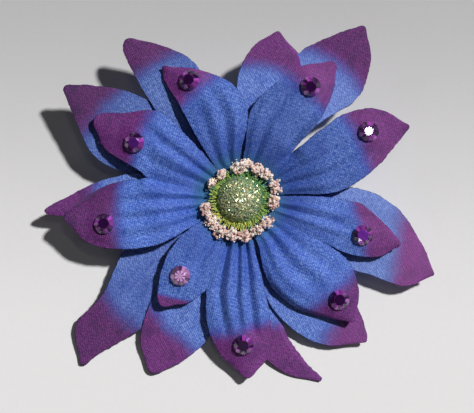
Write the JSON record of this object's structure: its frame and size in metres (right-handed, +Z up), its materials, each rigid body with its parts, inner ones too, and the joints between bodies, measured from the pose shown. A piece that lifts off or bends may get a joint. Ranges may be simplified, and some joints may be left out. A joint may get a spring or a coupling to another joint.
{
  "type": "flower hair clip",
  "caption": "Layered fabric flower with faceted rhinestones, a glitter seed head and stamens, on a felt disc and a sprung alligator hair clip.",
  "frame": {"origin": "on the flat underside of the clip's lower jaw, straight below the flower's centre", "axes": "+Z up from the surface the clip lies on, +Y from the jaw's tip to the clip's finger end, +X across the clip, along the flower's longest extent"},
  "size_m": [0.1229, 0.1113, 0.0201],
  "materials": {
    "petal_upper": "plain-weave taffeta, magenta-purple tips",
    "petal_middle": "plain-weave taffeta, plum tips",
    "petal_lower": "plain-weave taffeta, plum tips",
    "rhinestone": "foil-backed faceted amethyst glass",
    "clear_glue": "clear cement",
    "seed_head": "painted moulded plastic",
    "glitter": "gold and green glitter in glue",
    "filament": "soft moulded filaments",
    "stamen_tip": "crumbly pink foam grains",
    "hub": "moulded plastic",
    "felt": "blue craft felt",
    "hot_glue": "set hot-melt glue",
    "clip_steel": "nickel-plated steel",
    "spring_steel": "spring wire",
    "pin_steel": "rolled steel pin"
  },
  "bodies": {
    "flower": {"petal_sheet_upper": "petal_upper", "petal_sheet_middle": "petal_middle", "petal_sheet_lower": "petal_lower", "rhinestone_1": "rhinestone", "rhinestone_2": "rhinestone", "rhinestone_3": "rhinestone", "rhinestone_4": "rhinestone", "rhinestone_5": "rhinestone", "rhinestone_6": "rhinestone", "rhinestone_7": "rhinestone", "rhinestone_8": "rhinestone", "rhinestone_9": "rhinestone", "rhinestone_glue": "clear_glue", "seed_head": "seed_head", "glitter_cap": "glitter", "stamen_filaments": "filament", "stamen_tips": "stamen_tip", "hub_stem": "hub", "hub_washer": "hub", "felt_backing": "felt", "glue_pad": "hot_glue", "clip_upper_plate": "clip_steel", "clip_spring": "spring_steel", "clip_pin": "pin_steel"},
    "lower_jaw": {"clip_lower_jaw": "clip_steel"}
  },
  "joints": [
    {"name": "jaw_hinge", "type": "hinge", "parent": "flower", "child": "lower_jaw", "pos_m": [0, 0.005, 0.003], "axis": [1, 0, 0], "range_deg": [0, 20], "stiffness_Nm_per_rad": 0.03, "springref_deg": -8.59, "deforming": ["clip_spring"]}
  ]
}
